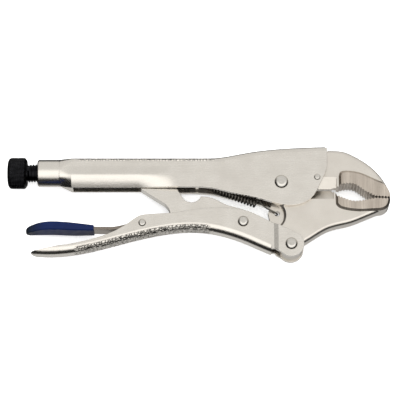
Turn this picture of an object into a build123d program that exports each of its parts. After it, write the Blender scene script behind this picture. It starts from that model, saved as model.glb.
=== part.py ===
"""Curved-jaw locking pliers, 250 mm class, lying on their side.

The design frame has x = 0 on the main pivot, y = 0 on the adjusting screw's axis and z = 0 on the
middle plane of the jaws, with +X towards the jaws and +Y towards the back of the fixed handle.
Every piece is moved to the row frame when it is written: the bottom centre of the whole tool.
All lengths are in millimetres.
"""

import os
from math import atan2, cos, degrees, pi, radians, sin

from build123d import *

# ---- driving dimensions -------------------------------------------------------------------------
OVERALL_LENGTH = 250.0
KNOB_RADIUS = 10.3
KNOB_LENGTH = 12.4
JAW_TIP_X = 71.0
KNOB_END_X = JAW_TIP_X - OVERALL_LENGTH

# pivots: main (handle to moving jaw), lever (jaw to lever), toggle (lever to link), release lever
MAIN_PIVOT = (0.0, -8.5)
LEVER_PIVOT = (6.0, -50.5)
TOGGLE_PIVOT = (-25.0, -35.1)
RELEASE_PIVOT = (-90.5, -36.0)
LINK_SEAT = (-89.0, -5.0)
JAW_PIN = (23.4, -5.2)
SPRING_EYE = (-2.8, -28.4)

# fixed handle: a folded steel channel, closed round the screw at its rear end
HANDLE_SHEET = 2.6
HANDLE_HALF = 8.5
HANDLE_GAP_HALF = HANDLE_HALF - HANDLE_SHEET
HANDLE_BACK_Y = 8.5
HANDLE_LIP_Y = -11.7
HANDLE_BEND = 3.4
BARREL_RADIUS = 8.9
BARREL_END_X = -159.5
BARREL_NECK_X = -145.0
CURL_START_X = -137.0
CURL_FADE_X = -93.0
CHANNEL_START_X = -68.0
CURL_HALF = 9.3
SLOT_HALF = 4.5
TUNNEL_RADIUS = 6.5

# jaws: drop forgings with ground grip pads
JAW_HALF = 5.7
PAD_HALF = 7.3
PAD_BEVEL = 1.5
FORGING_ROUND = 2.2
TOOTH_PITCH = 1.9
TOOTH_DEPTH = 0.8
LOBE_RADIUS = 10.0
LOBE_GAP = 0.4
HOLLOW_BEVEL = 1.4

# lever handle: a folded channel whose ears step out round the moving jaw
LEVER_SHEET = 2.5
LEVER_HALF = 7.0
LEVER_GAP_HALF = LEVER_HALF - LEVER_SHEET
EAR_INNER = 6.0
EAR_OUTER = EAR_INNER + 2.4
EAR_RADIUS = 8.3
CHANNEL_END_X = -7.0
JOGGLE_START_X = -5.2
JOGGLE_END_X = -2.2
LEVER_TAIL_X = -163.8

LINK_HALF = 3.9
SEAT_RADIUS = 4.0
SEAT_CLEARANCE = 2.7

THREAD_RADIUS = 5.95
THREAD_PITCH = 1.75
THREAD_DEPTH = 0.95
SCREW_TIP_X = LINK_SEAT[0] - SEAT_RADIUS - SEAT_CLEARANCE

RUNNING = 0.05

# grip pattern: shallow grooves across the backs of both handles
GROOVE_PITCH = 2.8
GROOVE_DEPTH = 0.4

# tension spring between the handle's tongue and the moving jaw
COIL_MEAN_RADIUS = 2.5
WIRE_RADIUS = 0.5
COIL_PITCH = 2.1
COIL_TURNS = 14
COIL_FRONT = (-16.3, -21.0)
COIL_RISE = 20.0
TONGUE_X = -55.0
SPRING_REAR_Y = -6.9

# the row frame's origin is the bottom centre of the whole tool
HIGHEST_Y = 16.3
LOWEST_Y = LEVER_PIVOT[1] - EAR_RADIUS
TO_ROW = Location(
    (-(JAW_TIP_X + KNOB_END_X) / 2, -(HIGHEST_Y + LOWEST_Y) / 2, KNOB_RADIUS)
)

os.makedirs("parts", exist_ok=True)


def write(part, name):
    """Labels a finished piece, moves it to the row frame and writes its STEP file."""
    placed = part.moved(TO_ROW)
    placed.label = name
    export_step(placed, f"parts/{name}.step")


def rim(part):
    """The edges round the outline of a plate, on its two side faces, apart from their holes."""
    side_faces = [part.faces().sort_by(Axis.Z)[-1], part.faces().sort_by(Axis.Z)[0]]
    return [edge for face in side_faces for edge in face.outer_wire().edges()]


# ---- fixed handle -------------------------------------------------------------------------------
def channel_section(x, half, top, bottom, bend, lip_half, swell):
    """A closed outline across the handle at x: flat back, bent corners, flat upper sides that swell
    round the screw and turn in to the lips.  swell holds the height where the flat ends, and the
    height and half width at the widest point below it."""
    flat_end, swell_y, swell_half = swell
    corner = bend * (1 - sin(pi / 4))
    with BuildSketch(Plane.YZ.offset(x)) as section:
        with BuildLine():
            # the sketch's first axis is the tool's Y, its second the tool's Z
            for side in (1, -1):
                Line((top, 0), (top, side * (half - bend)))
                ThreePointArc(
                    (top, side * (half - bend)),
                    (top - corner, side * (half - corner)),
                    (top - bend, side * half),
                )
                Line((top - bend, side * half), (flat_end, side * half))
                Spline(
                    (flat_end, side * half),
                    (swell_y, side * swell_half),
                    (bottom, side * lip_half),
                    tangents=[(-1, 0), (-0.75, -0.66 * side) if lip_half < half - 1 else (-1, 0)],
                )
                Line((bottom, side * lip_half), (bottom, 0))
        make_face()
    return section.sketch


def handle_back(drop=0.0):
    """The back edge of the channel from the screw tunnel to the jaws, lowered by drop."""
    return Spline(
        (CHANNEL_START_X + 20, HANDLE_BACK_Y - drop),
        (-24, 11.9 - drop),
        (28.4, HIGHEST_Y - drop),
        tangents=[(1, 0), (1, 0.03)],
    )


def build_fixed_handle():
    with BuildPart() as handle:
        # the flat-sided channel that holds the jaws
        with BuildSketch() as outline:
            with BuildLine():
                back = handle_back()
                Polyline(back @ 1, (30.2, 14.6), (29.9, 2.5))
                Spline(
                    (29.9, 2.5),
                    (25.8, -8.4),
                    (19.5, -19.2),
                    (8, -24.4),
                    (-12, -20.4),
                    (-36, -14.9),
                    (CHANNEL_START_X + 8, HANDLE_LIP_Y),
                    tangents=[(-0.15, -1), (-1, 0)],
                )
                Polyline(
                    (CHANNEL_START_X + 8, HANDLE_LIP_Y),
                    (CHANNEL_START_X, HANDLE_LIP_Y),
                    (CHANNEL_START_X, HANDLE_BACK_Y),
                    back @ 0,
                )
            make_face()
        extrude(amount=HANDLE_HALF, both=True)
        backs = [
            edge
            for edge in rim(handle.part)
            if edge.position_at(0.5).Y > 8 and edge.length > 15
        ]
        fillet(backs, HANDLE_BEND)

        # the part that curls round the screw, fading into the channel, and the necked barrel
        curl_swell = (2.4, -3.4, CURL_HALF)
        flat_swell = (2.4, -3.4, HANDLE_HALF)
        neck_swell = (-0.3, -BARREL_RADIUS * sin(pi / 4), BARREL_RADIUS * sin(pi / 4))
        curl = (HANDLE_HALF, HANDLE_BACK_Y, HANDLE_LIP_Y + 0.2, HANDLE_BEND, 4.9, curl_swell)
        flat = (HANDLE_HALF, HANDLE_BACK_Y, HANDLE_LIP_Y, HANDLE_BEND, HANDLE_HALF, flat_swell)
        neck = (BARREL_RADIUS, BARREL_RADIUS, -BARREL_RADIUS, 8.6, 0.4, neck_swell)
        loft(
            [
                channel_section(CURL_START_X, *curl),
                channel_section(CURL_FADE_X, *curl),
            ],
            ruled=True,
        )
        loft(
            [
                channel_section(CURL_FADE_X, *curl),
                channel_section(CHANNEL_START_X, *flat),
            ],
            ruled=True,
        )
        loft(
            [
                channel_section(BARREL_NECK_X, *neck),
                channel_section(CURL_START_X, *curl),
            ],
            ruled=True,
        )
        with BuildSketch(Plane.YZ.offset(BARREL_END_X)):
            Circle(BARREL_RADIUS)
        extrude(amount=BARREL_NECK_X - BARREL_END_X + 1.5)
        chamfer(
            handle.faces().sort_by(Axis.X)[0].outer_wire().edges(),
            length=0.8,
        )

        # threaded bore, screw tunnel and the slot below it
        with BuildSketch(Plane.YZ.offset(BARREL_END_X)):
            Circle(THREAD_RADIUS + 0.1)
        extrude(amount=CURL_START_X - BARREL_END_X, mode=Mode.SUBTRACT)
        with BuildSketch(Plane.YZ.offset(CURL_START_X - 4)):
            Circle(TUNNEL_RADIUS)
        extrude(amount=CURL_FADE_X + 6 - CURL_START_X + 4, mode=Mode.SUBTRACT)
        slot_bottom = HANDLE_LIP_Y - 6
        with BuildSketch():
            with Locations(((CURL_START_X + 1 + CURL_FADE_X) / 2, slot_bottom / 2)):
                Rectangle(CURL_FADE_X - CURL_START_X - 1, -slot_bottom)
        extrude(amount=SLOT_HALF, both=True, mode=Mode.SUBTRACT)
        with BuildSketch(Plane.YZ.offset(CURL_FADE_X)) as narrow:
            with Locations((slot_bottom / 2, 0)):
                Rectangle(-slot_bottom, 2 * SLOT_HALF)
        with BuildSketch(Plane.YZ.offset(CHANNEL_START_X)) as wide:
            with Locations((slot_bottom / 2, 0)):
                Rectangle(-slot_bottom, 2 * HANDLE_GAP_HALF)
        loft([narrow.sketch, wide.sketch], ruled=True, mode=Mode.SUBTRACT)

        # inside of the channel, open below and in front
        with BuildSketch():
            with BuildLine():
                inner = handle_back(HANDLE_SHEET)
                Polyline(
                    inner @ 1,
                    (45, HIGHEST_Y - HANDLE_SHEET),
                    (45, -40),
                    (CHANNEL_START_X, -40),
                    (CHANNEL_START_X, -6),
                    (CURL_FADE_X, -6),
                    (CURL_FADE_X, HANDLE_BACK_Y - HANDLE_SHEET),
                    inner @ 0,
                )
            make_face()
        extrude(amount=HANDLE_GAP_HALF, both=True, mode=Mode.SUBTRACT)

        # lanced tongue for the rear end of the spring, and the window it leaves in the back
        with BuildSketch():
            with Locations((-46.8, HANDLE_BACK_Y - 1)):
                Rectangle(11, 8)
        extrude(amount=2.6, both=True, mode=Mode.SUBTRACT)
        with BuildSketch():
            with BuildLine():
                Polyline(
                    (TONGUE_X - 1, HANDLE_BACK_Y - 0.4),
                    (TONGUE_X + 1, HANDLE_BACK_Y - 0.4),
                    (TONGUE_X + 1, SPRING_REAR_Y - 3.2),
                    (TONGUE_X - 1, SPRING_REAR_Y - 3.2),
                    close=True,
                )
            make_face()
        extrude(amount=2.6, both=True)
        with BuildSketch(Plane.YZ.offset(TONGUE_X - 2)):
            with Locations((SPRING_REAR_Y, 0)):
                Circle(1.3)
        extrude(amount=4, mode=Mode.SUBTRACT)

        # rivet and pin holes through both sides
        with BuildSketch():
            with Locations(MAIN_PIVOT):
                Circle(RIVET_SHANKS["main"])
            with Locations(JAW_PIN):
                Circle(JAW_PIN_RADIUS)
        extrude(amount=12, both=True, mode=Mode.SUBTRACT)

        # grip grooves across the back
        with BuildSketch():
            with BuildLine(mode=Mode.PRIVATE):
                straight = Line((-132, HANDLE_BACK_Y), (-62, HANDLE_BACK_Y))
            notches(straight, 0, 1, GROOVE_PITCH, GROOVE_DEPTH)
        extrude(amount=HANDLE_HALF + 1, both=True, mode=Mode.SUBTRACT)
    write(handle.part, "fixed_handle")


def notches(curve, first, last, pitch, depth):
    """V notches along a curve, from one share of its length to another, in the current sketch."""
    count = int(curve.length * (last - first) / pitch)
    side = depth * 2**0.5
    for i in range(count + 1):
        share = first + (last - first) * i / count
        place = curve @ share
        tangent = curve % share
        turn = degrees(atan2(tangent.Y, tangent.X))
        with Locations((place.X, place.Y)):
            Rectangle(side, side, rotation=turn + 45)


# ---- fixed jaw ----------------------------------------------------------------------------------
def upper_grip():
    """The fixed jaw's grip line, from the throat to the tip."""
    return Spline(
        (37.6, -11.0),
        (42, -9.6),
        (48, -10.2),
        (54, -14.4),
        (60, -17.6),
        (JAW_TIP_X - 0.2, -18.8),
        tangents=[(1, 0.6), (1, -0.08)],
    )


def lower_grip():
    """The moving jaw's grip line, from the throat to the tip."""
    return Spline(
        (35.2, -15.6),
        (39.5, -18.6),
        (47, -20.9),
        (55, -20.0),
        (60, -19.0),
        (JAW_TIP_X - 0.1, -19.1),
        tangents=[(0.5, -1), (1, -0.02)],
    )


CUTTER_Y = -12.2
CUTTER_GAP = 1.0
CUTTER_LAND_HALF = 1.8
UPPER_EDGE_Y = CUTTER_Y + CUTTER_GAP / 2
LOWER_EDGE_Y = CUTTER_Y - CUTTER_GAP / 2
CUTTER_START_X = 19.0
CUTTER_END_X = 32.5


def cutter_bevel(side_y, edge_y, start_x, end_x):
    """Two wedges, one on each side, that thin a jaw from side_y to its cutting edge at edge_y."""
    with BuildSketch(Plane.YZ.offset(start_x)) as wedges:
        for side in (1, -1):
            with BuildLine():
                Polyline(
                    (side_y, side * JAW_HALF),
                    (side_y, side * (PAD_HALF + 1)),
                    (edge_y, side * (PAD_HALF + 1)),
                    (edge_y, side * CUTTER_LAND_HALF),
                    close=True,
                )
            make_face()
    extrude(wedges.sketch, amount=end_x - start_x, mode=Mode.SUBTRACT)


def build_fixed_jaw():
    with BuildPart() as jaw:
        with BuildSketch():
            with BuildLine():
                grip = upper_grip()
                Spline(
                    grip @ 1,
                    (67.6, -7.8),
                    (57.5, 4.2),
                    (45, 12.0),
                    (30.8, 14.4),
                    tangents=[(0.05, 1), (-1, 0.02)],
                )
                Polyline((30.8, 14.4), (30.8, 13.4), (28.4, 13.4))
                Spline((28.4, 13.4), (6, 11.6), (-16, 9.3), tangents=[(-1, -0.03), (-1, -0.14)])
                Polyline(
                    (-16, 9.3),
                    (-16, 5),
                    (-9, LOBE_RADIUS + MAIN_PIVOT[1] + LOBE_GAP),
                    (0, LOBE_RADIUS + MAIN_PIVOT[1] + LOBE_GAP),
                )
                lobe = LOBE_RADIUS + LOBE_GAP
                drop = UPPER_EDGE_Y - MAIN_PIVOT[1]
                ThreePointArc(
                    (0, MAIN_PIVOT[1] + lobe),
                    (lobe * cos(radians(40)), MAIN_PIVOT[1] + lobe * sin(radians(40))),
                    ((lobe**2 - drop**2) ** 0.5, UPPER_EDGE_Y),
                )
                Polyline(
                    ((lobe**2 - drop**2) ** 0.5, UPPER_EDGE_Y),
                    (CUTTER_END_X, UPPER_EDGE_Y),
                    (34, UPPER_EDGE_Y + 0.7),
                    grip @ 0,
                )
            make_face()
        extrude(amount=JAW_HALF, both=True)
        outer = [e for e in rim(jaw.part) if e.length > 30 and (e @ 0.5).Y > 0 and (e @ 0.5).X > 32]
        fillet(outer, FORGING_ROUND)

        # the grip pad stands proud of the cheek on both sides
        with BuildSketch():
            with BuildLine():
                grip = upper_grip()
                Spline(
                    grip @ 1,
                    (69.2, -12.6),
                    (65.6, -7.6),
                    tangents=[(0.05, 1), (-0.6, 1)],
                )
                Spline(
                    (65.6, -7.6),
                    (53, -2.0),
                    (45, -0.2),
                    (38.2, -1.6),
                    tangents=[(-1, 0.35), (-0.6, -1)],
                )
                Polyline((38.2, -1.6), (37.6, -4), grip @ 0)
            make_face()
        extrude(amount=PAD_HALF, both=True)
        walls = [
            e
            for e in rim(jaw.part)
            if (e @ 0.5).Y > -9.6 and (e @ 0.5).X < 65
        ]
        chamfer(walls, PAD_BEVEL)

        cutter_bevel(-4.6, UPPER_EDGE_Y, CUTTER_START_X, 36.2)
        with BuildSketch():
            with BuildLine(mode=Mode.PRIVATE):
                grip = upper_grip()
            notches(grip, 0.04, 0.97, TOOTH_PITCH, TOOTH_DEPTH)
        extrude(amount=PAD_HALF + 1, both=True, mode=Mode.SUBTRACT)
        with BuildSketch():
            with Locations(JAW_PIN):
                Circle(JAW_PIN_RADIUS)
        extrude(amount=JAW_HALF + 2, both=True, mode=Mode.SUBTRACT)
    write(jaw.part, "fixed_jaw")


# ---- moving jaw ---------------------------------------------------------------------------------
def build_moving_jaw():
    with BuildPart() as jaw:
        with BuildSketch():
            with BuildLine():
                grip = lower_grip()
                drop = LOWER_EDGE_Y - MAIN_PIVOT[1]
                lobe_x = (LOBE_RADIUS**2 - drop**2) ** 0.5
                Spline(
                    grip @ 1,
                    (57, -30.4),
                    (44, -35.6),
                    (30, -39.4),
                    (20.5, -45),
                    (13.2, -49.8),
                    tangents=[(-0.3, -1), (-1, -0.7)],
                )
                Polyline((13.2, -49.8), LEVER_PIVOT, (-1.2, -50.5), (-1.2, -37))
                ThreePointArc((-1.2, -37), (1.6, -29.5), (-4.4, -21.4))
                Polyline(
                    (-4.4, -21.4),
                    (-9, MAIN_PIVOT[1] - 4),
                    MAIN_PIVOT,
                    (lobe_x, LOWER_EDGE_Y),
                    (CUTTER_END_X, LOWER_EDGE_Y),
                    (33.6, -13.8),
                    grip @ 0,
                )
            make_face()
        extrude(amount=JAW_HALF, both=True)
        outer = [
            e
            for e in rim(jaw.part)
            if e.length > 40 and (e @ 0.5).Y < -25 and (e @ 0.5).X > 15
        ]
        fillet(outer, FORGING_ROUND)
        hollow = [e for e in rim(jaw.part) if 5 < e.length < 30 and abs((e @ 0.5).Y + 29.5) < 1.5]
        chamfer(hollow, HOLLOW_BEVEL)
        with BuildSketch():
            with Locations(MAIN_PIVOT):
                Circle(LOBE_RADIUS)
            with Locations(LEVER_PIVOT):
                Circle(EAR_RADIUS - 0.7)
        extrude(amount=JAW_HALF, both=True)

        # thin web behind the cheek, with the eye for the spring's hook
        with BuildSketch():
            with BuildLine():
                Polyline(
                    (-3, -17),
                    (-6.3, -22),
                    (-8.8, -28),
                    (-7.6, -33.5),
                    (-4, -38.5),
                    (2, -40),
                    (5, -30),
                    close=True,
                )
            make_face()
        extrude(amount=2.0, both=True)
        with BuildSketch():
            with Locations(SPRING_EYE):
                Circle(1.7)
        extrude(amount=3, both=True, mode=Mode.SUBTRACT)

        with BuildSketch():
            with BuildLine():
                grip = lower_grip()
                Spline(
                    grip @ 1,
                    (70, -23.4),
                    (64, -27.4),
                    tangents=[(0.0, -1), (-1, -0.1)],
                )
                Spline(
                    (64, -27.4),
                    (52, -28.0),
                    (42, -27.0),
                    (35.4, -22.6),
                    tangents=[(-1, -0.02), (-0.2, 1)],
                )
                Line((35.4, -22.6), grip @ 0)
            make_face()
        extrude(amount=PAD_HALF, both=True)
        walls = [
            e
            for e in rim(jaw.part)
            if ((e @ 0.5).Y < -23 or (e @ 0.5).X < 36) and (e @ 0.5).X < 65
        ]
        chamfer(walls, PAD_BEVEL)

        cutter_bevel(-19.4, LOWER_EDGE_Y, CUTTER_START_X, 34.0)
        with BuildSketch():
            with BuildLine(mode=Mode.PRIVATE):
                grip = lower_grip()
            notches(grip, 0.06, 0.97, TOOTH_PITCH, TOOTH_DEPTH)
        extrude(amount=PAD_HALF + 1, both=True, mode=Mode.SUBTRACT)
        with BuildSketch():
            with Locations(MAIN_PIVOT):
                Circle(RIVET_SHANKS["main"] + RUNNING)
            with Locations(LEVER_PIVOT):
                Circle(RIVET_SHANKS["lever"] + RUNNING)
        extrude(amount=JAW_HALF + 2, both=True, mode=Mode.SUBTRACT)
    write(jaw.part, "moving_jaw")


# ---- rivets and pin -----------------------------------------------------------------------------
RIVET_SHANKS = {"main": 3.5, "lever": 3.2, "toggle": 2.6, "release": 1.5}
JAW_PIN_RADIUS = 1.5


def build_rivet(name, place, shank, head, grip_half, rise):
    """A rivet along Z: a plain shank over the grip, and a low domed head at each end."""
    with BuildPart() as rivet:
        with BuildSketch(Plane.XZ):
            with BuildLine():
                Line((0, 0), (shank, 0))
                Line((shank, 0), (shank, grip_half))
                Line((shank, grip_half), (head, grip_half))
                Line((head, grip_half), (head, grip_half + 0.1 * rise))
                ThreePointArc(
                    (head, grip_half + 0.1 * rise),
                    (head * 0.78, grip_half + 0.74 * rise),
                    (head * 0.35, grip_half + rise),
                )
                Line((head * 0.35, grip_half + rise), (0, grip_half + rise))
                Line((0, grip_half + rise), (0, 0))
            make_face()
        revolve(axis=Axis.Z)
        mirror(about=Plane.XY)
    write(rivet.part.moved(Location((place[0], place[1], 0))), name)


# ---- lever handle -------------------------------------------------------------------------------
def lever_back(lift=0.0):
    """The lever's back edge, from its tail to the jaw, raised by lift."""
    return Spline(
        (LEVER_TAIL_X, -55.8 + lift),
        (-138, -55.7 + lift),
        (-103, -47.6 + lift),
        (-70, -40.5 + lift),
        (-48, -40.5 + lift),
        (-24, -47.4 + lift),
        (CHANNEL_END_X, -55.0 + lift),
        tangents=[(1, -0.12), (1, -0.42)],
    )


def build_lever_ears():
    """The lever's two ears, which step outwards to pass on either side of the moving jaw."""
    with BuildPart() as ears:
        with BuildSketch(Plane.XZ):
            for side in (1, -1):
                with BuildLine():
                    Polyline(
                        (CHANNEL_END_X, side * LEVER_GAP_HALF),
                        (CHANNEL_END_X, side * LEVER_HALF),
                        (JOGGLE_START_X, side * LEVER_HALF),
                        (JOGGLE_END_X, side * EAR_OUTER),
                        (30, side * EAR_OUTER),
                        (30, side * EAR_INNER),
                        (JOGGLE_END_X, side * EAR_INNER),
                        (JOGGLE_START_X, side * LEVER_GAP_HALF),
                        close=True,
                    )
                make_face()
        extrude(amount=90)
        with BuildSketch():
            with BuildLine():
                Polyline(
                    (CHANNEL_END_X, -35.4),
                    (-1, -38),
                    (8, -42.2),
                    (LEVER_PIVOT[0] + 5.2, LEVER_PIVOT[1] + 6.2),
                    LEVER_PIVOT,
                    (LEVER_PIVOT[0] - 3, LEVER_PIVOT[1] - EAR_RADIUS + 0.8),
                    (-3.2, -54.4),
                    (-4.6, -53.2),
                    (CHANNEL_END_X, -53.2),
                    close=True,
                )
            make_face()
            with Locations(LEVER_PIVOT):
                Circle(EAR_RADIUS)
        extrude(amount=20, both=True, mode=Mode.INTERSECT)
    return ears.part


def build_lever_handle():
    ears = build_lever_ears()
    with BuildPart() as lever:
        with BuildSketch():
            with BuildLine():
                back = lever_back()
                Line(back @ 1, (CHANNEL_END_X, -35.4))
                Spline(
                    (CHANNEL_END_X, -35.4),
                    (-20, -28.8),
                    (-36, -25.9),
                    (-52, -26.3),
                    (-73, -29.4),
                    tangents=[(-1, 0.5), (-1, -0.12)],
                )
                Polyline((-73, -29.4), (-89, -30.3), (-92.5, -31.2))
                Spline(
                    (-92.5, -31.2),
                    (-100, -36.4),
                    (-110, -42.3),
                    (-124, -47.2),
                    (-144, -51.2),
                    (LEVER_TAIL_X, -52.0),
                    tangents=[(-1, -0.5), (-1, -0.02)],
                )
                Line((LEVER_TAIL_X, -52.0), back @ 0)
            make_face()
        extrude(amount=LEVER_HALF, both=True)
        tail = [
            e
            for e in lever.edges()
            if abs((e @ 0.5).X - LEVER_TAIL_X) < 0.1 and abs((e % 0.5).Y) > 0.9
        ]
        fillet(tail, LEVER_HALF - 1.0)
        bends = [e for e in rim(lever.part) if e.length > 100 and (e @ 0.5).Y < -38]
        fillet(bends, 4.0)

        # inside of the channel, and the slope that runs the sides out at the tail
        with BuildSketch():
            with BuildLine():
                floor_line = lever_back(LEVER_SHEET)
                Polyline(
                    floor_line @ 1,
                    (CHANNEL_END_X + 2, -55 + LEVER_SHEET),
                    (CHANNEL_END_X + 2, -15),
                    (LEVER_TAIL_X, -15),
                    floor_line @ 0,
                )
            make_face()
        extrude(amount=LEVER_GAP_HALF, both=True, mode=Mode.SUBTRACT)
        with BuildSketch():
            with BuildLine():
                Polyline(
                    (-134, -49),
                    (-146, -51.5),
                    (-156, -53.8),
                    (LEVER_TAIL_X - 1, -55.2),
                    (LEVER_TAIL_X - 1, -49),
                    close=True,
                )
            make_face()
        extrude(amount=LEVER_HALF + 1, both=True, mode=Mode.SUBTRACT)

        # grip grooves across the back
        with BuildSketch():
            with BuildLine(mode=Mode.PRIVATE):
                back = lever_back()
            notches(back, 0.19, 0.75, GROOVE_PITCH, GROOVE_DEPTH)
        extrude(amount=LEVER_HALF + 1, both=True, mode=Mode.SUBTRACT)

        add(ears)
        with BuildSketch():
            with Locations(LEVER_PIVOT):
                Circle(RIVET_SHANKS["lever"])
            with Locations(TOGGLE_PIVOT):
                Circle(RIVET_SHANKS["toggle"])
            with Locations(RELEASE_PIVOT):
                Circle(RIVET_SHANKS["release"])
        extrude(amount=12, both=True, mode=Mode.SUBTRACT)
    write(lever.part, "lever_handle")


# ---- toggle link --------------------------------------------------------------------------------
def build_toggle_link():
    with BuildPart() as link:
        with BuildSketch():
            with BuildLine():
                Polyline(
                    (LINK_SEAT[0], LINK_SEAT[1] + SEAT_RADIUS),
                    (-84, 1.0),
                    (-75, -0.5),
                    (-69.5, -5),
                    (-67.4, -13.2),
                    (-64.6, -17.6),
                )
                ThreePointArc((-64.6, -17.6), (-58.6, -21.2), (-52.4, -17.2))
                Spline(
                    (-52.4, -17.2),
                    (-43.5, -18.9),
                    (-37, -22.3),
                    (-27, -25.4),
                    (TOGGLE_PIVOT[0] + 6.4, TOGGLE_PIVOT[1] + 3.9),
                    tangents=[(1, 0), (0.6, -1)],
                )
                Polyline(
                    (TOGGLE_PIVOT[0] + 6.4, TOGGLE_PIVOT[1] + 3.9),
                    TOGGLE_PIVOT,
                    (TOGGLE_PIVOT[0] - 4, TOGGLE_PIVOT[1] - 6.2),
                    (-46, -33.6),
                    (-62, -31.0),
                    (-66, -31.7),
                    (-71.6, -30.8),
                    (-73.4, -25.2),
                    (-75.8, -22.2),
                    (-91.4, -12.2),
                    (LINK_SEAT[0] - SEAT_RADIUS, LINK_SEAT[1] - 2.4),
                    LINK_SEAT,
                    (LINK_SEAT[0], LINK_SEAT[1] + SEAT_RADIUS),
                )
            make_face()
            with Locations(LINK_SEAT):
                Circle(SEAT_RADIUS)
            with Locations(TOGGLE_PIVOT):
                Circle(7.5)
        extrude(amount=LINK_HALF, both=True)
        with BuildSketch():
            with Locations(TOGGLE_PIVOT):
                Circle(RIVET_SHANKS["toggle"] + RUNNING)
        extrude(amount=LINK_HALF + 1, both=True, mode=Mode.SUBTRACT)
    write(link.part, "toggle_link")


# ---- release lever and its grip -----------------------------------------------------------------
RELEASE_SHEET = 1.9
RELEASE_HALF = 4.1
RELEASE_EAR = 1.4
TAIL_HALF = 5.2
TAIL_X = -160.0
GRIP_HALF = 7.4
GRIP_FRONT_X = -122.0
GRIP_END_X = -166.3


def tail_profile(half_thickness):
    """Side outline of the release lever's strip, from its nose to the end of its tail."""
    rise = half_thickness
    with BuildLine() as outline:
        top = Spline(
            (-84, -32.55 + rise),
            (-96, -35.4 + rise),
            (-108, -38.65 + rise),
            (-122, -39.1 + rise),
            (-146, -37.9 + rise),
            (TAIL_X, -39.4 + rise),
            tangents=[(-1, -0.02), (-1, -0.2)],
        )
        bottom = Spline(
            (-84, -32.55 - rise),
            (-96, -35.4 - rise),
            (-108, -38.65 - rise),
            (-122, -39.1 - rise),
            (-146, -37.9 - rise),
            (TAIL_X, -39.4 - rise),
            tangents=[(-1, -0.02), (-1, -0.2)],
        )
        Line(top @ 1, bottom @ 1)
        Polyline(top @ 0, (-76, -33.0 + rise), (-62, -36.2 + rise), (-62, -36.2 - rise))
        Polyline((-62, -36.2 - rise), (-76, -33.0 - rise), bottom @ 0)
    return outline.line


def build_release_lever():
    profile = tail_profile(RELEASE_SHEET / 2)
    with BuildPart() as release:
        with BuildSketch():
            add(profile)
            make_face()
        extrude(amount=TAIL_HALF, both=True)

        # plan shape: narrow inside the lever, wide under the grip, round at the end
        with BuildSketch(Plane.XZ.offset(60)):
            with BuildLine():
                for side in (1, -1):
                    Polyline(
                        (-62, 0),
                        (-62, side * 3),
                        (-64, side * RELEASE_HALF),
                        (-109, side * RELEASE_HALF),
                        (-115, side * TAIL_HALF),
                        (TAIL_X + TAIL_HALF, side * TAIL_HALF),
                    )
                ThreePointArc(
                    (TAIL_X + TAIL_HALF, TAIL_HALF), (TAIL_X, 0), (TAIL_X + TAIL_HALF, -TAIL_HALF)
                )
            make_face()
        extrude(amount=-60, mode=Mode.INTERSECT)

        # ears folded down round the release pivot
        with BuildSketch():
            with BuildLine():
                Polyline(
                    (-84.5, -32.6),
                    (-94.5, -34.6),
                    (RELEASE_PIVOT[0] - 3, RELEASE_PIVOT[1] - 1.8),
                    (RELEASE_PIVOT[0] + 3, RELEASE_PIVOT[1] - 1.8),
                    close=True,
                )
            make_face()
            with Locations(RELEASE_PIVOT):
                Circle(3.4)
        extrude(amount=RELEASE_HALF, both=True)
        with BuildSketch():
            with Locations((RELEASE_PIVOT[0], RELEASE_PIVOT[1] - 1.2)):
                Rectangle(14, 4.6)
        extrude(amount=RELEASE_HALF - RELEASE_EAR, both=True, mode=Mode.SUBTRACT)
        with BuildSketch():
            with Locations(RELEASE_PIVOT):
                Circle(RIVET_SHANKS["release"] + RUNNING)
        extrude(amount=RELEASE_HALF + 1, both=True, mode=Mode.SUBTRACT)
    write(release.part, "release_lever")
    return release.part


def build_release_grip(strip):
    with BuildPart() as grip:
        with BuildSketch():
            with BuildLine():
                top = Spline(
                    (GRIP_FRONT_X, -37.3),
                    (-134, -35.9),
                    (-148, -34.9),
                    (-158, -35.7),
                    (GRIP_END_X, -38.4),
                    tangents=[(-1, 0.12), (-1, -0.5)],
                )
                bottom = Spline(
                    (GRIP_FRONT_X, -40.9),
                    (-134, -41.0),
                    (-148, -40.5),
                    (-158, -40.9),
                    (GRIP_END_X, -42.2),
                    tangents=[(-1, 0), (-1, -0.2)],
                )
                Line(top @ 0, bottom @ 0)
                Line(top @ 1, bottom @ 1)
            make_face()
        extrude(amount=GRIP_HALF, both=True)
        with BuildSketch(Plane.XZ.offset(30)):
            with BuildLine():
                for side in (1, -1):
                    Spline(
                        (GRIP_FRONT_X, side * (GRIP_HALF - 0.5)),
                        (-144, side * GRIP_HALF),
                        (-161.5, side * 5.2),
                        tangents=[(-1, side * 0.02), (-1, -side * 0.45)],
                    )
                ThreePointArc((-161.5, 5.2), (GRIP_END_X, 0), (-161.5, -5.2))
                Line((GRIP_FRONT_X, GRIP_HALF - 0.5), (GRIP_FRONT_X, 0.5 - GRIP_HALF))
            make_face()
        extrude(amount=20, mode=Mode.INTERSECT)
        broad = [face for face in grip.faces() if abs(face.normal_at().Y) > 0.8]
        rims = [
            edge
            for face in broad
            for edge in face.outer_wire().edges()
            if abs((edge @ 0.5).X - GRIP_FRONT_X) > 1
        ]
        fillet(rims, 1.3)
        add(strip, mode=Mode.SUBTRACT)
    write(grip.part, "release_grip")


# ---- adjusting screw and knob -------------------------------------------------------------------
KNOB_FACE_X = KNOB_END_X + KNOB_LENGTH
SPIGOT_RADIUS = 4.5
SPIGOT_LENGTH = 9.0


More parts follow.
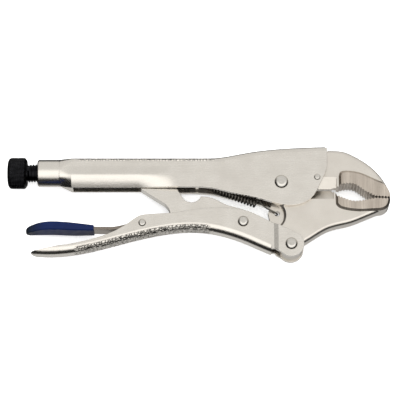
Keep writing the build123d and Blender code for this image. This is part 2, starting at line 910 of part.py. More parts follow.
def build_adjusting_screw():
    with BuildPart() as screw:
        with BuildSketch():
            with BuildLine():
                Polyline(
                    (KNOB_FACE_X - SPIGOT_LENGTH, 0),
                    (KNOB_FACE_X - SPIGOT_LENGTH, SPIGOT_RADIUS),
                    (KNOB_FACE_X + 0.1, SPIGOT_RADIUS),
                    (KNOB_FACE_X + 0.1, SPIGOT_RADIUS + 0.5),
                    (KNOB_FACE_X + 1.9, SPIGOT_RADIUS + 0.5),
                    (KNOB_FACE_X + 2.8, THREAD_RADIUS),
                    (SCREW_TIP_X - 1.2, THREAD_RADIUS),
                    (SCREW_TIP_X, THREAD_RADIUS - 1.2),
                    (SCREW_TIP_X, 0),
                    close=True,
                )
            make_face()
        revolve(axis=Axis.X)

        # thread grooves along the whole shank
        first = KNOB_FACE_X + 2.8 + THREAD_PITCH / 2
        count = int((SCREW_TIP_X - 2 - first) / THREAD_PITCH)
        half = THREAD_PITCH * 0.42
        with BuildSketch():
            for i in range(count + 1):
                x = first + i * THREAD_PITCH
                with BuildLine():
                    Polyline(
                        (x - half, THREAD_RADIUS + 0.01),
                        (x, THREAD_RADIUS - THREAD_DEPTH),
                        (x + half, THREAD_RADIUS + 0.01),
                        close=True,
                    )
                make_face()
        revolve(axis=Axis.X, mode=Mode.SUBTRACT)
    write(screw.part, "adjusting_screw")


def build_screw_knob():
    with BuildPart() as knob:
        with BuildSketch():
            with BuildLine():
                Line((KNOB_END_X, 0), (KNOB_END_X, KNOB_RADIUS - 3.4))
                ThreePointArc(
                    (KNOB_END_X, KNOB_RADIUS - 3.4),
                    (KNOB_END_X + 0.9, KNOB_RADIUS - 1.1),
                    (KNOB_END_X + 2.6, KNOB_RADIUS),
                )
                Polyline(
                    (KNOB_END_X + 2.6, KNOB_RADIUS),
                    (KNOB_FACE_X - 1.4, KNOB_RADIUS),
                    (KNOB_FACE_X, KNOB_RADIUS - 1.6),
                    (KNOB_FACE_X, SPIGOT_RADIUS + RUNNING),
                    (KNOB_FACE_X - SPIGOT_LENGTH - 0.1, SPIGOT_RADIUS + RUNNING),
                    (KNOB_FACE_X - SPIGOT_LENGTH - 0.1, 0),
                    (KNOB_END_X, 0),
                )
            make_face()
        revolve(axis=Axis.X)
    write(knob.part, "screw_knob")


# ---- jaw spring ---------------------------------------------------------------------------------
def build_jaw_spring():
    rise = radians(COIL_RISE)
    length = COIL_PITCH * COIL_TURNS
    rear = (COIL_FRONT[0] - length * cos(rise), COIL_FRONT[1] + length * sin(rise), 0)
    with BuildPart() as spring:
        with BuildLine():
            coil = Helix(
                pitch=COIL_PITCH,
                height=length,
                radius=COIL_MEAN_RADIUS,
                center=rear,
                direction=(cos(rise), -sin(rise), 0),
            )
        with BuildSketch(Plane(origin=coil @ 0, z_dir=coil % 0)):
            Circle(WIRE_RADIUS)
        sweep(path=coil, is_frenet=True)
        start, finish = coil @ 0, coil @ 1
        eye_x, eye_y = SPRING_EYE
        with BuildLine() as front_hook:
            Spline(
                finish,
                (COIL_FRONT[0] + 4.5, COIL_FRONT[1] - 2.2, 3.1),
                (eye_x - 2.2, eye_y + 0.9, 3.3),
                (eye_x, eye_y, 1.2),
                (eye_x, eye_y, -1.2),
                (eye_x - 1.4, eye_y + 0.6, -3.2),
                tangents=[coil % 1, (-0.9, 0.35, -0.5)],
            )
        with BuildSketch(Plane(origin=finish, z_dir=coil % 1)):
            Circle(WIRE_RADIUS)
        sweep(path=front_hook.line)
        with BuildLine() as rear_hook:
            Spline(
                start,
                (rear[0] - 2.6, rear[1] + 1.2, 0.6),
                (TONGUE_X + 1.6, SPRING_REAR_Y + 0.1, 0),
                (TONGUE_X - 1.8, SPRING_REAR_Y, 0),
                tangents=[(coil % 0) * -1, (-1, 0, 0)],
            )
        with BuildSketch(Plane(origin=start, z_dir=(coil % 0) * -1)):
            Circle(WIRE_RADIUS)
        sweep(path=rear_hook.line)
    write(spring.part, "jaw_spring")


# ---- the pieces ---------------------------------------------------------------------------------
build_fixed_handle()
build_fixed_jaw()
build_moving_jaw()
build_rivet("main_rivet", MAIN_PIVOT, RIVET_SHANKS["main"], 4.5, HANDLE_HALF, 1.7)
build_rivet("lever_rivet", LEVER_PIVOT, RIVET_SHANKS["lever"], 4.0, EAR_OUTER, 1.8)
build_rivet("toggle_rivet", TOGGLE_PIVOT, RIVET_SHANKS["toggle"], 3.6, LEVER_HALF, 1.7)
build_rivet("release_rivet", RELEASE_PIVOT, RIVET_SHANKS["release"], 2.5, LEVER_HALF, 1.1)
build_rivet("jaw_pin", JAW_PIN, JAW_PIN_RADIUS, 2.1, HANDLE_HALF, 0.9)
build_lever_handle()
build_toggle_link()
build_release_grip(build_release_lever())
build_adjusting_screw()
build_screw_knob()
build_jaw_spring()
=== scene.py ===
"""Curved-jaw locking pliers lying on a pale table, with nickel-plated handles and jaws."""

import math

import bmesh
import bpy
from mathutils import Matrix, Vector


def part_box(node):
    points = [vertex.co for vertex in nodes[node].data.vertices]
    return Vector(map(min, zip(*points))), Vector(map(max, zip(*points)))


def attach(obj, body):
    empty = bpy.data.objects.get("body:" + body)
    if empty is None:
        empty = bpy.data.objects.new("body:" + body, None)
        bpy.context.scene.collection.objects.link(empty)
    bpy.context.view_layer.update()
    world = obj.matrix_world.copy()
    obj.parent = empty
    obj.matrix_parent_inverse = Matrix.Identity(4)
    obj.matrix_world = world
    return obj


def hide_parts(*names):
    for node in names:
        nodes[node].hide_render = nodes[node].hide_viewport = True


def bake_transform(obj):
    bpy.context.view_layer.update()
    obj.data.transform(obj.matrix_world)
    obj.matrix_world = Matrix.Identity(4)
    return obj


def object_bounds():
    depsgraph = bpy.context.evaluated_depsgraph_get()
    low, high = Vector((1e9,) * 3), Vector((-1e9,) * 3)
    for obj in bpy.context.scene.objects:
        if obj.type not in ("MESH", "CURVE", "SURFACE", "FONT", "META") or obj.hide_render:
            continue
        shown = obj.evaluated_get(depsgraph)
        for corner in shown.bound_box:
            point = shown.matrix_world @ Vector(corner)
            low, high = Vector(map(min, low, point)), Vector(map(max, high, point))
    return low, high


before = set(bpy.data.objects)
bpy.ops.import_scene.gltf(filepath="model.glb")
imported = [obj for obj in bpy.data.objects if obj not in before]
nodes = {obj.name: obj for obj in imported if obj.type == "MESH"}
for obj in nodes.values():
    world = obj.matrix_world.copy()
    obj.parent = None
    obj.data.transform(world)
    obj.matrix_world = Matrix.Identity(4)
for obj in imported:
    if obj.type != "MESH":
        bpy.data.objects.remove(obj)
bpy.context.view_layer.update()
MM = 0.001
scene = bpy.context.scene

# the middle of the tool's thickness, and the axis of the adjusting screw
knob_low, knob_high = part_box("screw_knob")
screw_low, screw_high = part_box("adjusting_screw")
axis_y = (knob_low.y + knob_high.y) / 2
axis_z = (knob_low.z + knob_high.z) / 2


# ---- materials ----------------------------------------------------------------------------------
def linear(code):
    """An sRGB hex colour as linear red, green, blue and alpha."""
    parts = [int(code[i : i + 2], 16) / 255 for i in (0, 2, 4)]
    return [c / 12.92 if c <= 0.04045 else ((c + 0.055) / 1.055) ** 2.4 for c in parts] + [1.0]


def add_node(tree, kind, inputs=None, **settings):
    """Adds a node: settings are its own properties, inputs are values or the sockets that feed it."""
    made = tree.nodes.new(kind)
    for name, value in settings.items():
        setattr(made, name, value)
    for name, value in (inputs or {}).items():
        if isinstance(value, bpy.types.NodeSocket):
            tree.links.new(value, made.inputs[name])
        else:
            made.inputs[name].default_value = value
    return made


def new_material(name):
    """An empty node material with its output and its Principled shader."""
    made = bpy.data.materials.new(name)
    made.use_nodes = True
    tree = made.node_tree
    tree.nodes.clear()
    shader = add_node(tree, "ShaderNodeBsdfPrincipled")
    add_node(tree, "ShaderNodeOutputMaterial", {"Surface": shader.outputs["BSDF"]})
    return made, tree, shader


def nickel_sheet(name, grip=None, dull="D9D3CA", clean="E9E4DC"):
    """Bright nickel plate on pressed mild steel sheet: a warm satin mirror over the sheet's faint
    orange peel, with cloudy patches and fine handling scratches. grip is the stretch of the back,
    in metres along the tool, and the side (+1 or -1) that carries the raised pebble pattern. dull and
    clean are the colours that the patches run between."""
    made, tree, shader = new_material(name)
    place = add_node(tree, "ShaderNodeTexCoord")
    spot = place.outputs["Object"]
    clouds = add_node(tree, "ShaderNodeTexNoise", {"Vector": spot, "Scale": 90.0, "Detail": 4.0})
    tone = add_node(
        tree,
        "ShaderNodeMix",
        {"Factor": clouds.outputs["Fac"], "A": linear(dull), "B": linear(clean)},
        data_type="RGBA",
    )
    tree.links.new(tone.outputs["Result"], shader.inputs["Base Color"])
    shader.inputs["Metallic"].default_value = 1.0

    # scratches from handling, about 0.3 mm wide and running mostly along the tool
    along = add_node(
        tree, "ShaderNodeMapping", {"Vector": spot, "Scale": (60.0, 2600.0, 2600.0)}
    )
    scratches = add_node(
        tree, "ShaderNodeTexNoise", {"Vector": along.outputs["Vector"], "Scale": 1.0, "Detail": 2.0}
    )
    polish = add_node(
        tree,
        "ShaderNodeMath",
        {0: clouds.outputs["Fac"], 1: 0.5},
        operation="MULTIPLY",
    )
    mixed = add_node(
        tree,
        "ShaderNodeMath",
        {0: polish.outputs["Value"], 1: scratches.outputs["Fac"]},
        operation="ADD",
    )
    gloss = add_node(
        tree,
        "ShaderNodeMapRange",
        {
            "Value": mixed.outputs["Value"],
            "From Min": 0.5,
            "From Max": 1.0,
            "To Min": 0.19,
            "To Max": 0.31,
        },
    )
    tree.links.new(gloss.outputs["Result"], shader.inputs["Roughness"])

    # orange peel of the plated sheet, 1.2 mm across
    peel = add_node(tree, "ShaderNodeTexNoise", {"Vector": spot, "Scale": 820.0, "Detail": 3.0})
    edge = add_node(tree, "ShaderNodeBevel", {"Radius": 0.5 * MM}, samples=6)
    relief = add_node(
        tree,
        "ShaderNodeBump",
        {
            "Height": peel.outputs["Fac"],
            "Normal": edge.outputs["Normal"],
            "Strength": 0.2,
            "Distance": 0.0002,
        },
    )
    last = relief
    if grip:
        start, finish, side = grip
        cells = add_node(
            tree,
            "ShaderNodeTexVoronoi",
            {"Vector": spot, "Scale": 560.0},
            feature="DISTANCE_TO_EDGE",
        )
        pebble = add_node(
            tree,
            "ShaderNodeMapRange",
            {"Value": cells.outputs["Distance"], "From Min": 0.0, "From Max": 0.16},
        )
        where = add_node(tree, "ShaderNodeSeparateXYZ", {"Vector": spot})
        facing = add_node(tree, "ShaderNodeSeparateXYZ", {"Vector": place.outputs["Normal"]})
        turned = add_node(
            tree,
            "ShaderNodeMath",
            {0: facing.outputs["Y"], 1: float(side)},
            operation="MULTIPLY",
        )
        backward = add_node(
            tree,
            "ShaderNodeMapRange",
            {"Value": turned.outputs["Value"], "From Min": 0.2, "From Max": 0.35},
        )
        after = add_node(
            tree,
            "ShaderNodeMapRange",
            {"Value": where.outputs["X"], "From Min": start, "From Max": start + 3 * MM},
        )
        before = add_node(
            tree,
            "ShaderNodeMapRange",
            {"Value": where.outputs["X"], "From Min": finish, "From Max": finish - 3 * MM},
        )
        inside = add_node(
            tree,
            "ShaderNodeMath",
            {0: after.outputs["Result"], 1: before.outputs["Result"]},
            operation="MULTIPLY",
        )
        mask = add_node(
            tree,
            "ShaderNodeMath",
            {0: inside.outputs["Value"], 1: backward.outputs["Result"]},
            operation="MULTIPLY",
        )
        raised = add_node(
            tree,
            "ShaderNodeMath",
            {0: pebble.outputs["Result"], 1: mask.outputs["Value"]},
            operation="MULTIPLY",
        )
        last = add_node(
            tree,
            "ShaderNodeBump",
            {
                "Height": raised.outputs["Value"],
                "Normal": relief.outputs["Normal"],
                "Strength": 1.0,
                "Distance": 0.0004,
            },
        )
    tree.links.new(last.outputs["Normal"], shader.inputs["Normal"])
    return made


def nickel_forging(name, grip_low, grip_high, middle_z, cheek_half):
    """Nickel plate on a shot-blasted drop forging: a fine grain on the cheeks. The grip pads and the
    toothed faces are ground after plating, which bares grey-brown steel with upright grinding lines.
    The pads are everything that stands out beyond cheek_half, and the teeth lie within a box."""
    made, tree, shader = new_material(name)
    place = add_node(tree, "ShaderNodeTexCoord")
    spot = place.outputs["Object"]
    where = add_node(tree, "ShaderNodeSeparateXYZ", {"Vector": spot})

    # how far from the middle plane
    off = add_node(tree, "ShaderNodeMath", {0: where.outputs["Z"], 1: middle_z}, operation="SUBTRACT")
    side = add_node(tree, "ShaderNodeMath", {0: off.outputs["Value"]}, operation="ABSOLUTE")
    proud = add_node(
        tree,
        "ShaderNodeMapRange",
        {
            "Value": side.outputs["Value"],
            "From Min": cheek_half + 0.02 * MM,
            "From Max": cheek_half + 0.12 * MM,
        },
    )
    ranges = []
    for axis, low, high in (
        ("X", grip_low[0], grip_high[0]),
        ("Y", grip_low[1], grip_high[1]),
    ):
        for edge, step in ((low, 0.1 * MM), (high, -0.1 * MM)):
            ranges.append(
                add_node(
                    tree,
                    "ShaderNodeMapRange",
                    {"Value": where.outputs[axis], "From Min": edge, "From Max": edge + step},
                ).outputs["Result"]
            )
    facing = add_node(tree, "ShaderNodeSeparateXYZ", {"Vector": place.outputs["Normal"]})
    tilt = add_node(tree, "ShaderNodeMath", {0: facing.outputs["Z"]}, operation="ABSOLUTE")
    across = add_node(
        tree,
        "ShaderNodeMapRange",
        {"Value": tilt.outputs["Value"], "From Min": 0.7, "From Max": 0.4},
    )
    toothed = across.outputs["Result"]
    for limit in ranges:
        toothed = add_node(
            tree, "ShaderNodeMath", {0: toothed, 1: limit}, operation="MULTIPLY"
        ).outputs["Value"]
    ground = add_node(
        tree,
        "ShaderNodeMath",
        {0: proud.outputs["Result"], 1: toothed},
        operation="MAXIMUM",
    ).outputs["Value"]

    # grinding lines 0.5 mm apart, upright on the pads
    stretch = add_node(
        tree, "ShaderNodeMapping", {"Vector": spot, "Scale": (900.0, 30.0, 120.0)}
    )
    lines = add_node(
        tree,
        "ShaderNodeTexNoise",
        {"Vector": stretch.outputs["Vector"], "Scale": 1.0, "Detail": 3.0, "Roughness": 0.7},
    )
    broad = add_node(
        tree, "ShaderNodeMapping", {"Vector": spot, "Scale": (210.0, 14.0, 60.0)}
    )
    bands = add_node(
        tree, "ShaderNodeTexNoise", {"Vector": broad.outputs["Vector"], "Scale": 1.0, "Detail": 1.0}
    )
    streaks = add_node(
        tree,
        "ShaderNodeMath",
        {0: lines.outputs["Fac"], 1: bands.outputs["Fac"]},
        operation="MULTIPLY",
    )
    shade = add_node(
        tree,
        "ShaderNodeMapRange",
        {"Value": streaks.outputs["Value"], "From Min": 0.12, "From Max": 0.40},
    )
    bare = add_node(
        tree,
        "ShaderNodeMix",
        {"Factor": shade.outputs["Result"], "A": linear("B0A599"), "B": linear("DACFC2")},
        data_type="RGBA",
    )
    grain = add_node(tree, "ShaderNodeTexNoise", {"Vector": spot, "Scale": 1500.0, "Detail": 3.0})
    clouds = add_node(tree, "ShaderNodeTexNoise", {"Vector": spot, "Scale": 110.0, "Detail": 3.0})
    plate = add_node(
        tree,
        "ShaderNodeMix",
        {"Factor": clouds.outputs["Fac"], "A": linear("D4CDC3"), "B": linear("E6E0D7")},
        data_type="RGBA",
    )
    colour = add_node(
        tree,
        "ShaderNodeMix",
        {"Factor": ground, "A": plate.outputs["Result"], "B": bare.outputs["Result"]},
        data_type="RGBA",
    )
    tree.links.new(colour.outputs["Result"], shader.inputs["Base Color"])
    shader.inputs["Metallic"].default_value = 1.0
    rough = add_node(
        tree,
        "ShaderNodeMapRange",
        {
            "Value": grain.outputs["Fac"],
            "From Min": 0.3,
            "From Max": 0.7,
            "To Min": 0.27,
            "To Max": 0.38,
        },
    )
    tree.links.new(rough.outputs["Result"], shader.inputs["Roughness"])
    edge = add_node(tree, "ShaderNodeBevel", {"Radius": 0.4 * MM}, samples=6)
    pits = add_node(
        tree,
        "ShaderNodeBump",
        {
            "Height": grain.outputs["Fac"],
            "Normal": edge.outputs["Normal"],
            "Strength": 0.3,
            "Distance": 0.0002,
        },
    )
    scored = add_node(
        tree,
        "ShaderNodeMath",
        {0: lines.outputs["Fac"], 1: ground},
        operation="MULTIPLY",
    )
    grooves = add_node(
        tree,
        "ShaderNodeBump",
        {
            "Height": scored.outputs["Value"],
            "Normal": pits.outputs["Normal"],
            "Strength": 0.35,
            "Distance": 0.0002,
        },
    )
    tree.links.new(grooves.outputs["Normal"], shader.inputs["Normal"])
    return made


def bright_rivet(name):
    """Nickel-plated mild steel rivet head, set with a rounding tool: brighter than the sheet, with
    faint rings of tool chatter and a few dull spots."""
    made, tree, shader = new_material(name)
    place = add_node(tree, "ShaderNodeTexCoord")
    spots = add_node(
        tree, "ShaderNodeTexNoise", {"Vector": place.outputs["Object"], "Scale": 700.0, "Detail": 3.0}
    )
    tone = add_node(
        tree,
        "ShaderNodeMix",
        {"Factor": spots.outputs["Fac"], "A": linear("C8C3BB"), "B": linear("E0DCD5")},
        data_type="RGBA",
    )
    tree.links.new(tone.outputs["Result"], shader.inputs["Base Color"])
    shader.inputs["Metallic"].default_value = 1.0
    gloss = add_node(
        tree,
        "ShaderNodeMapRange",
        {
            "Value": spots.outputs["Fac"],
            "From Min": 0.3,
            "From Max": 0.7,
            "To Min": 0.12,
            "To Max": 0.24,
        },
    )
    tree.links.new(gloss.outputs["Result"], shader.inputs["Roughness"])
    dents = add_node(
        tree,
        "ShaderNodeBump",
        {"Height": spots.outputs["Fac"], "Strength": 0.10, "Distance": 0.0002},
    )
    tree.links.new(dents.outputs["Normal"], shader.inputs["Normal"])
    return made


def black_oxide(name):
    """Black oxide on machined steel, lightly oiled: near black, a soft sheen, rubbed greyer on the
    high spots."""
    made, tree, shader = new_material(name)
    place = add_node(tree, "ShaderNodeTexCoord")
    wear = add_node(
        tree, "ShaderNodeTexNoise", {"Vector": place.outputs["Object"], "Scale": 420.0, "Detail": 4.0}
    )
    tone = add_node(
        tree,
        "ShaderNodeMix",
        {"Factor": wear.outputs["Fac"], "A": linear("161618"), "B": linear("323234")},
        data_type="RGBA",
    )
    tree.links.new(tone.outputs["Result"], shader.inputs["Base Color"])
    shader.inputs["Metallic"].default_value = 1.0
    gloss = add_node(
        tree,
        "ShaderNodeMapRange",
        {
            "Value": wear.outputs["Fac"],
            "From Min": 0.3,
            "From Max": 0.7,
            "To Min": 0.16,
            "To Max": 0.3,
        },
    )
    tree.links.new(gloss.outputs["Result"], shader.inputs["Roughness"])
    grain = add_node(
        tree,
        "ShaderNodeBump",
        {"Height": wear.outputs["Fac"], "Strength": 0.1, "Distance": 0.0001},
    )
    tree.links.new(grain.outputs["Normal"], shader.inputs["Normal"])
    return made


def spring_wire(name):
    """Hard-drawn spring wire with its dark oiled oxide: grey-black with fine lengthwise die marks."""
    made, tree, shader = new_material(name)
    place = add_node(tree, "ShaderNodeTexCoord")
    marks = add_node(
        tree, "ShaderNodeTexNoise", {"Vector": place.outputs["Object"], "Scale": 900.0, "Detail": 3.0}
    )
    tone = add_node(
        tree,
        "ShaderNodeMix",
        {"Factor": marks.outputs["Fac"], "A": linear("3A3835"), "B": linear("8A857D")},
        data_type="RGBA",
    )
    tree.links.new(tone.outputs["Result"], shader.inputs["Base Color"])
    shader.inputs["Metallic"].default_value = 0.9
    gloss = add_node(
        tree,
        "ShaderNodeMapRange",
        {
            "Value": marks.outputs["Fac"],
            "From Min": 0.3,
            "From Max": 0.7,
            "To Min": 0.28,
            "To Max": 0.42,
        },
    )
    tree.links.new(gloss.outputs["Result"], shader.inputs["Roughness"])
    return made


def dipped_vinyl(name, tip_x):
    """Plastisol vinyl, dipped and cured: deep navy with a slight gloss and a soft, faintly rippled
    skin. It is a little darker and duller at the tip, where it is handled."""
    made, tree, shader = new_material(name)
    place = add_node(tree, "ShaderNodeTexCoord")
    spot = place.outputs["Object"]
    ripple = add_node(tree, "ShaderNodeTexNoise", {"Vector": spot, "Scale": 260.0, "Detail": 3.0})
    where = add_node(tree, "ShaderNodeSeparateXYZ", {"Vector": spot})
    handled = add_node(
        tree,
        "ShaderNodeMapRange",
        {"Value": where.outputs["X"], "From Min": tip_x + 12 * MM, "From Max": tip_x + 1 * MM},
    )
    blue = add_node(
        tree,
        "ShaderNodeMix",
        {"Factor": ripple.outputs["Fac"], "A": linear("0C183C"), "B": linear("12224E")},
        data_type="RGBA",
    )
    tone = add_node(
        tree,
        "ShaderNodeMix",
        {"Factor": handled.outputs["Result"], "A": blue.outputs["Result"], "B": linear("161C22")},
        data_type="RGBA",
    )
    tree.links.new(tone.outputs["Result"], shader.inputs["Base Color"])
    gloss = add_node(
        tree,
        "ShaderNodeMapRange",
        {
            "Value": ripple.outputs["Fac"],
            "From Min": 0.3,
            "From Max": 0.7,
            "To Min": 0.38,
            "To Max": 0.5,
        },
    )
    tree.links.new(gloss.outputs["Result"], shader.inputs["Roughness"])
    shader.inputs["Specular IOR Level"].default_value = 0.12
    skin = add_node(
        tree,
        "ShaderNodeBump",
        {"Height": ripple.outputs["Fac"], "Strength": 0.15, "Distance": 0.0004},
    )
    tree.links.new(skin.outputs["Normal"], shader.inputs["Normal"])
    return made


def table_top(name):
    """A light table's opal acrylic, lit from below: plain, so the tool stands out."""
    made, tree, shader = new_material(name)
    place = add_node(tree, "ShaderNodeTexCoord")
    fleck = add_node(
        tree, "ShaderNodeTexNoise", {"Vector": place.outputs["Object"], "Scale": 400.0, "Detail": 2.0}
    )
    tone = add_node(
        tree,
        "ShaderNodeMix",
        {"Factor": fleck.outputs["Fac"], "A": linear("F8F8F7"), "B": linear("FCFCFB")},
        data_type="RGBA",
    )
    tree.links.new(tone.outputs["Result"], shader.inputs["Base Color"])
    shader.inputs["Roughness"].default_value = 0.9
    shader.inputs["Specular IOR Level"].default_value = 0.1
    shader.inputs["Emission Color"].default_value = linear("FFFFFF")
    shader.inputs["Emission Strength"].default_value = 0.55
    return made


handle_low, handle_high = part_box("fixed_handle")
lever_low, lever_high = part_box("lever_handle")
jaw_low, jaw_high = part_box("fixed_jaw")
lower_low, lower_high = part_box("moving_jaw")
grip_low, grip_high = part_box("release_grip")
CHEEK_HALF = 5.7 * MM
mouth_low = (jaw_high.x - 36.5 * MM, axis_y - 22.5 * MM)
mouth_high = (jaw_high.x + 1 * MM, axis_y - 9.0 * MM)

handle_steel = nickel_sheet(
    "nickel_sheet_fixed_handle", grip=(handle_low.x + 26 * MM, handle_low.x + 117 * MM, 1)
)
lever_steel = nickel_sheet(
    "nickel_sheet_lever", grip=(lever_low.x + 28 * MM, lever_low.x + 117 * MM, -1)
)
plain_steel = nickel_sheet("nickel_sheet_plain")
strip_steel = nickel_sheet("tempered_steel_strip", dull="7C736A", clean="9A9187")
jaw_steel = nickel_forging("nickel_forging", mouth_low, mouth_high, axis_z, CHEEK_HALF)
rivet_steel = bright_rivet("nickel_rivet")
oxide_steel = black_oxide("black_oxide_steel")
wire_steel = spring_wire("oiled_spring_wire")
vinyl = dipped_vinyl("dipped_vinyl_navy", grip_low.x)

finishes = {
    "fixed_handle": handle_steel,
    "lever_handle": lever_steel,
    "toggle_link": plain_steel,
    "release_lever": strip_steel,
    "fixed_jaw": jaw_steel,
    "moving_jaw": jaw_steel,
    "main_rivet": rivet_steel,
    "lever_rivet": rivet_steel,
    "toggle_rivet": rivet_steel,
    "release_rivet": rivet_steel,
    "jaw_pin": rivet_steel,
    "release_grip": vinyl,
}
for node_name, finish in finishes.items():
    cad_mesh = nodes[node_name].data
    cad_mesh.materials.clear()
    cad_mesh.materials.append(finish)


# ---- new pieces ---------------------------------------------------------------------------------
def finish_piece(shape, name, material, body, replaced):
    """Turns a bmesh into a smooth piece that rides on a body and stands for a CAD node."""
    bmesh.ops.remove_doubles(shape, verts=shape.verts, dist=1e-6)
    bmesh.ops.recalc_face_normals(shape, faces=shape.faces)
    mesh = bpy.data.meshes.new(name)
    shape.to_mesh(mesh)
    shape.free()
    mesh.materials.append(material)
    piece = bpy.data.objects.new(name, mesh)
    scene.collection.objects.link(piece)
    if body:
        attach(piece, body)
    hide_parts(replaced)
    return piece


def lathe(shape, outline, steps):
    """Spins an outline of (x, radius) points round the screw's axis."""
    verts = [shape.verts.new((x, axis_y, axis_z + radius)) for x, radius in outline]
    edges = [shape.edges.new(pair) for pair in zip(verts, verts[1:])]
    bmesh.ops.spin(
        shape,
        geom=verts + edges,
        cent=(0, axis_y, axis_z),
        axis=(1, 0, 0),
        angle=2 * math.pi,
        steps=steps,
        use_merge=True,
    )


def knurled_knob():
    """The knob's rounded end, its diamond-knurled band and its chamfered inner face."""
    radius = (knob_high.y - knob_low.y) / 2
    low, high = knob_low.x, knob_high.x
    rows, dome, rounding = 30, 2.4 * MM, 3.6 * MM
    band_start, band_finish = low + dome, high - 1.4 * MM
    socket, socket_depth = 4.55 * MM, 9.1 * MM
    outline = [(low, 0.0), (low, radius - rounding)]
    for i in range(1, 8):
        turn = i / 8 * math.pi / 2
        outline.append(
            (
                band_start - dome * math.cos(turn),
                radius - rounding + rounding * math.sin(turn),
            )
        )
    for i in range(rows + 1):
        outline.append((band_start + (band_finish - band_start) * i / rows, radius))
    outline += [(high - 0.3 * MM, radius - 1.3 * MM), (high, radius - 1.6 * MM)]
    outline += [(high, socket), (high - socket_depth, socket), (high - socket_depth, 0.0)]
    shape = bmesh.new()
    lathe(shape, outline, 208)

    # crossed grooves, 1.4 mm apart and 0.5 mm deep, that run on over the rounded end
    around, spacing, groove_depth = 46, 1.4 * MM, 0.5 * MM
    for vert in shape.verts:
        y, z = vert.co.y - axis_y, vert.co.z - axis_z
        r = math.hypot(y, z)
        if r < radius - 2.6 * MM or vert.co.x > band_finish + 0.01 * MM:
            continue
        turn = math.atan2(z, y) / (2 * math.pi) * around
        along = (vert.co.x - band_start) / spacing
        grooves = [abs(2 * ((turn + way * along) % 1) - 1) for way in (1, -1)]
        shrink = 1 - groove_depth * max(grooves) ** 2 / r
        vert.co.y, vert.co.z = axis_y + y * shrink, axis_z + z * shrink
    return finish_piece(
        shape, "knurled_knob", oxide_steel, "knob", "screw_knob"
    )


def threaded_screw():
    """The screw's core with its undercut neck, and one helical thread that runs out at both ends."""
    radius = (screw_high.y - screw_low.y) / 2
    pitch, depth = 1.75 * MM, 0.75 * MM
    neck = 4.5 * MM
    sunk = 0.06 * MM
    root = radius - depth
    face = knob_high.x
    start, finish = face + 0.2 * MM, screw_high.x - 1.0 * MM
    shape = bmesh.new()
    outline = [
        (screw_low.x, 0.0),
        (screw_low.x, neck),
        (face + 0.1 * MM, neck),
        (face + 0.1 * MM, root),
        (screw_high.x - 0.3 * MM, root),
        (screw_high.x, root - 0.3 * MM),
        (screw_high.x, 0.0),
    ]
    lathe(shape, outline, 48)
    turns, steps = int((finish - start) / pitch) - 1, 40
    # one pitch of thread, as fractions of the pitch, with its foot sunk into the core
    profile = [(0.0, -sunk), (0.1, -sunk), (0.4, depth), (0.6, depth), (0.9, -sunk), (1.0, -sunk)]
    verts = [shape.verts.new((start + p * pitch, axis_y, axis_z + root + h)) for p, h in profile]
    edges = [shape.edges.new(pair) for pair in zip(verts, verts[1:])]
    bmesh.ops.spin(
        shape,
        geom=verts + edges,
        cent=(0, axis_y, axis_z),
        axis=(1, 0, 0),
        dvec=(pitch / steps, 0, 0),
        angle=2 * math.pi * turns,
        steps=steps * turns,
    )
    for vert in shape.verts:
        y, z = vert.co.y - axis_y, vert.co.z - axis_z
        r = math.hypot(y, z)
        if r < root + 0.02 * MM:
            continue
        near_end = min(vert.co.x - start, start + (turns + 1) * pitch - vert.co.x) / (0.7 * pitch)
        height = (r - root) * min(1.0, max(0.0, near_end)) - (0.02 * MM if near_end < 0.02 else 0.0)
        vert.co.y, vert.co.z = axis_y + y * (root + height) / r, axis_z + z * (root + height) / r
    return finish_piece(
        shape, "threaded_screw", oxide_steel, "screw", "adjusting_screw"
    )


def coil_spring():
    """The tension spring: its coil and both hooks, which hang between the handle and the jaw; a still
    copy of the CAD spring on no body, so it does not follow the jaw.
    """
    shape = bmesh.new()
    shape.from_mesh(nodes["jaw_spring"].data)
    piece = finish_piece(shape, "tension_spring", wire_steel, None, "jaw_spring")
    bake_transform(piece)
    return piece


knob = knurled_knob()
screw = threaded_screw()
spring = coil_spring()

# smooth faces, with the corners of the solids kept sharp
for piece in (knob, screw, spring):
    for face in piece.data.polygons:
        face.use_smooth = True
for piece in (knob, screw):
    piece.data.set_sharp_from_angle(angle=math.radians(32))


# ---- table, light and camera --------------------------------------------------------------------
low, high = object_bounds()
middle = (low + high) / 2

sheet = bmesh.new()
bmesh.ops.create_grid(sheet, x_segments=1, y_segments=1, size=3.0)
table_mesh = bpy.data.meshes.new("table")
sheet.to_mesh(table_mesh)
sheet.free()
table_mesh.materials.append(table_top("opal_acrylic"))
table = bpy.data.objects.new("table", table_mesh)
scene.collection.objects.link(table)
table.visible_glossy = False


def soft_light(name, place, size, power, tint="FFFFFF"):
    """A square soft box at a place, aimed at the middle of the tool."""
    lamp = bpy.data.lights.new(name, "AREA")
    lamp.shape = "SQUARE"
    lamp.size = size
    lamp.energy = power
    lamp.color = linear(tint)[:3]
    holder = bpy.data.objects.new(name, lamp)
    holder.location = middle + Vector(place)
    holder.rotation_euler = (-Vector(place)).to_track_quat("-Z", "Y").to_euler()
    holder.visible_glossy = False
    scene.collection.objects.link(holder)


soft_light("overhead_box", (0.1, 0.35, 1.1), 1.2, 9.0)
soft_light("front_box", (-0.2, -0.9, 0.55), 0.7, 4.0)

world = bpy.data.worlds.new("studio")
scene.world = world
world.use_nodes = True
tree = world.node_tree
tree.nodes.clear()
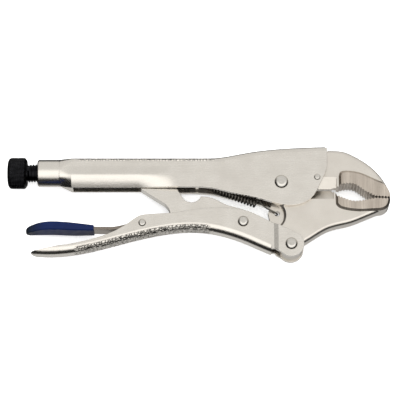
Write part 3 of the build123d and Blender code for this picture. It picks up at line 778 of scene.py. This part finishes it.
# a big soft room: pale overhead and behind, brighter in front, dark along the horizon and to the
# left, and a dimmer pale floor below
way = add_node(tree, "ShaderNodeTexCoord")
split = add_node(tree, "ShaderNodeSeparateXYZ", {"Vector": way.outputs["Generated"]})
behind = add_node(
    tree, "ShaderNodeMapRange", {"Value": split.outputs["Y"], "From Max": 1.0, "To Max": 0.85}
)
lifted = add_node(
    tree,
    "ShaderNodeMath",
    {0: split.outputs["Z"], 1: behind.outputs["Result"]},
    operation="ADD",
)
height = add_node(
    tree,
    "ShaderNodeMapRange",
    {"Value": lifted.outputs["Value"], "From Min": -1.0, "From Max": 1.0},
)
ramp = add_node(tree, "ShaderNodeValToRGB", {"Fac": height.outputs["Result"]})
stops = (
    (0.0, 0.37),
    (0.05, 0.28),
    (0.13, 0.06),
    (0.22, 0.012),
    (0.70, 0.012),
    (0.80, 0.42),
    (0.88, 0.68),
    (1.0, 0.68),
)
while len(ramp.color_ramp.elements) < len(stops):
    ramp.color_ramp.elements.new(0.5)
for element, (position, level) in zip(ramp.color_ramp.elements, stops):
    element.position = position
    element.color = (level, level, level * 0.99, 1)
front = add_node(
    tree,
    "ShaderNodeMapRange",
    {
        "Value": split.outputs["Y"],
        "From Min": 0.28,
        "From Max": 0.0,
        "To Min": 1.2,
        "To Max": 2.1,
    },
)
leftward = add_node(
    tree,
    "ShaderNodeMapRange",
    {
        "Value": split.outputs["X"],
        "From Min": -0.85,
        "From Max": -0.5,
        "To Min": 0.3,
        "To Max": 1.0,
    },
)
level = add_node(
    tree,
    "ShaderNodeMath",
    {0: front.outputs["Result"], 1: leftward.outputs["Result"]},
    operation="MULTIPLY",
)
backdrop = add_node(
    tree,
    "ShaderNodeBackground",
    {"Color": ramp.outputs["Color"], "Strength": level.outputs["Value"]},
)
add_node(tree, "ShaderNodeOutputWorld", {"Surface": backdrop.outputs["Background"]})

camera_data = bpy.data.cameras.new("camera")
camera = bpy.data.objects.new("camera", camera_data)
scene.collection.objects.link(camera)
scene.camera = camera
tilt = math.radians(18.0)
distance = 1.3
view_width = 261.6 * MM
aim = Vector((middle.x + 1.0 * MM, middle.y + 2.9 * MM, middle.z))
camera.location = aim + distance * Vector((0, -math.sin(tilt), math.cos(tilt)))
camera.rotation_euler = (tilt, 0, 0)
camera_data.lens = camera_data.sensor_width * distance / view_width
scene.view_settings.view_transform = "Standard"
